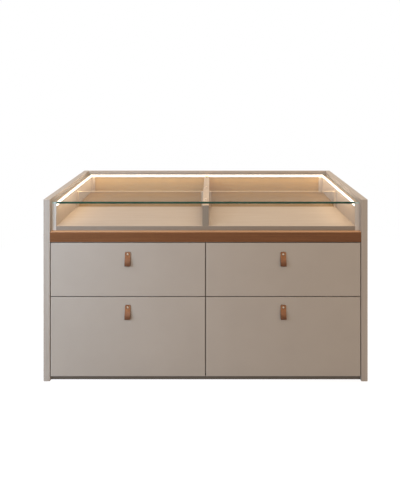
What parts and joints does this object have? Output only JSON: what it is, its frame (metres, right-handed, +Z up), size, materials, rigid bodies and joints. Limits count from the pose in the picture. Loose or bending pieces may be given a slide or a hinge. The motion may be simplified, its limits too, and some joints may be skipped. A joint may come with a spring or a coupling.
{
  "type": "closet island with drawers",
  "caption": "Free-standing closet island: flat drawers with leather loop pulls under a lit, open-fronted display case with a loose glass top.",
  "frame": {"origin": "on the floor, in the middle of the island's outline with its pulls", "axes": "+X to the right as seen from the drawers' side, +Y towards the back, +Z up; the drawers open towards -Y"},
  "size_m": [1.6, 0.617, 0.897],
  "materials": {
    "gable_veneer": "fine-grained pale greige veneer, matt",
    "front_lacquer": "smooth warm greige lacquer, matt",
    "case_lining": "smooth stone-grey lining board, matt",
    "walnut": "brown-stained veneer with fine horizontal grain, satin",
    "carcass_board": "grey-brown faced board",
    "drawer_board": "linen-look faced drawer board",
    "clear_glass": "clear float glass, polished edges",
    "aluminium": "anodised profile",
    "opal": "opal diffuser, lit from behind",
    "light_tape": "white flexible circuit",
    "runner_steel": "zinc-plated pressed steel",
    "leather": "tan leather, cut edges",
    "screw_metal": "pale brass dome head",
    "driver_plastic": "white moulded case",
    "black_rubber": "black rubber",
    "clear_bumper": "clear soft pads",
    "foot_plastic": "black moulded plastic"
  },
  "bodies": {
    "cabinet": {"gable_left": "gable_veneer", "gable_right": "gable_veneer", "back_panel": "gable_veneer", "base_board": "carcass_board", "plinth": "carcass_board", "centre_partition": "carcass_board", "carcass_top": "carcass_board", "walnut_band": "walnut", "levelling_feet": "foot_plastic", "cable_grommet": "black_rubber", "display_wall_left": "case_lining", "display_wall_right": "case_lining", "display_floor": "case_lining", "display_divider": "case_lining", "corner_posts": "case_lining", "glass_pane_left": "clear_glass", "glass_pane_right": "clear_glass", "pane_channels": "aluminium", "divider_bumpers": "clear_bumper", "led_profiles": "aluminium", "led_tapes": "light_tape", "led_diffusers": "opal", "led_driver": "driver_plastic", "led_lead": "black_rubber", "runner_cabinet_members": "runner_steel"},
    "glass": {"glass_top": "clear_glass"},
    "upper_left_drawer": {"upper_left_front": "front_lacquer", "upper_left_box_sides": "drawer_board", "upper_left_box_ends": "drawer_board", "upper_left_box_bottom": "drawer_board", "upper_left_strap": "leather", "upper_left_strap_screw": "screw_metal", "upper_left_runner_inner": "runner_steel"},
    "upper_left_middle_runners": {"upper_left_runner_middle": "runner_steel"},
    "upper_right_drawer": {"upper_right_front": "front_lacquer", "upper_right_box_sides": "drawer_board", "upper_right_box_ends": "drawer_board", "upper_right_box_bottom": "drawer_board", "upper_right_strap": "leather", "upper_right_strap_screw": "screw_metal", "upper_right_runner_inner": "runner_steel"},
    "upper_right_middle_runners": {"upper_right_runner_middle": "runner_steel"},
    "lower_left_drawer": {"lower_left_front": "front_lacquer", "lower_left_box_sides": "drawer_board", "lower_left_box_ends": "drawer_board", "lower_left_box_bottom": "drawer_board", "lower_left_strap": "leather", "lower_left_strap_screw": "screw_metal", "lower_left_runner_inner": "runner_steel"},
    "lower_left_middle_runners": {"lower_left_runner_middle": "runner_steel"},
    "lower_right_drawer": {"lower_right_front": "front_lacquer", "lower_right_box_sides": "drawer_board", "lower_right_box_ends": "drawer_board", "lower_right_box_bottom": "drawer_board", "lower_right_strap": "leather", "lower_right_strap_screw": "screw_metal", "lower_right_runner_inner": "runner_steel"},
    "lower_right_middle_runners": {"lower_right_runner_middle": "runner_steel"}
  },
  "joints": [
    {"name": "upper_left_drawer_slide", "type": "slide", "parent": "cabinet", "child": "upper_left_drawer", "axis": [0, -1, 0], "range_m": [0, 0.48]},
    {"name": "upper_left_runner_slide", "type": "slide", "parent": "cabinet", "child": "upper_left_middle_runners", "axis": [0, -1, 0], "range_m": [0, 0.24]},
    {"name": "upper_right_drawer_slide", "type": "slide", "parent": "cabinet", "child": "upper_right_drawer", "axis": [0, -1, 0], "range_m": [0, 0.48]},
    {"name": "upper_right_runner_slide", "type": "slide", "parent": "cabinet", "child": "upper_right_middle_runners", "axis": [0, -1, 0], "range_m": [0, 0.24]},
    {"name": "lower_left_drawer_slide", "type": "slide", "parent": "cabinet", "child": "lower_left_drawer", "axis": [0, -1, 0], "range_m": [0, 0.48]},
    {"name": "lower_left_runner_slide", "type": "slide", "parent": "cabinet", "child": "lower_left_middle_runners", "axis": [0, -1, 0], "range_m": [0, 0.24]},
    {"name": "lower_right_drawer_slide", "type": "slide", "parent": "cabinet", "child": "lower_right_drawer", "axis": [0, -1, 0], "range_m": [0, 0.48]},
    {"name": "lower_right_runner_slide", "type": "slide", "parent": "cabinet", "child": "lower_right_middle_runners", "axis": [0, -1, 0], "range_m": [0, 0.24]},
    {"name": "glass_top_lift", "type": "slide", "parent": "cabinet", "child": "glass", "axis": [0, 0, 1], "range_m": [0, 0.25]}
  ],
  "couplings": [
    {"joint": "upper_left_runner_slide", "follows": "upper_left_drawer_slide", "ratio": 0.5},
    {"joint": "upper_right_runner_slide", "follows": "upper_right_drawer_slide", "ratio": 0.5},
    {"joint": "lower_left_runner_slide", "follows": "lower_left_drawer_slide", "ratio": 0.5},
    {"joint": "lower_right_runner_slide", "follows": "lower_right_drawer_slide", "ratio": 0.5}
  ]
}
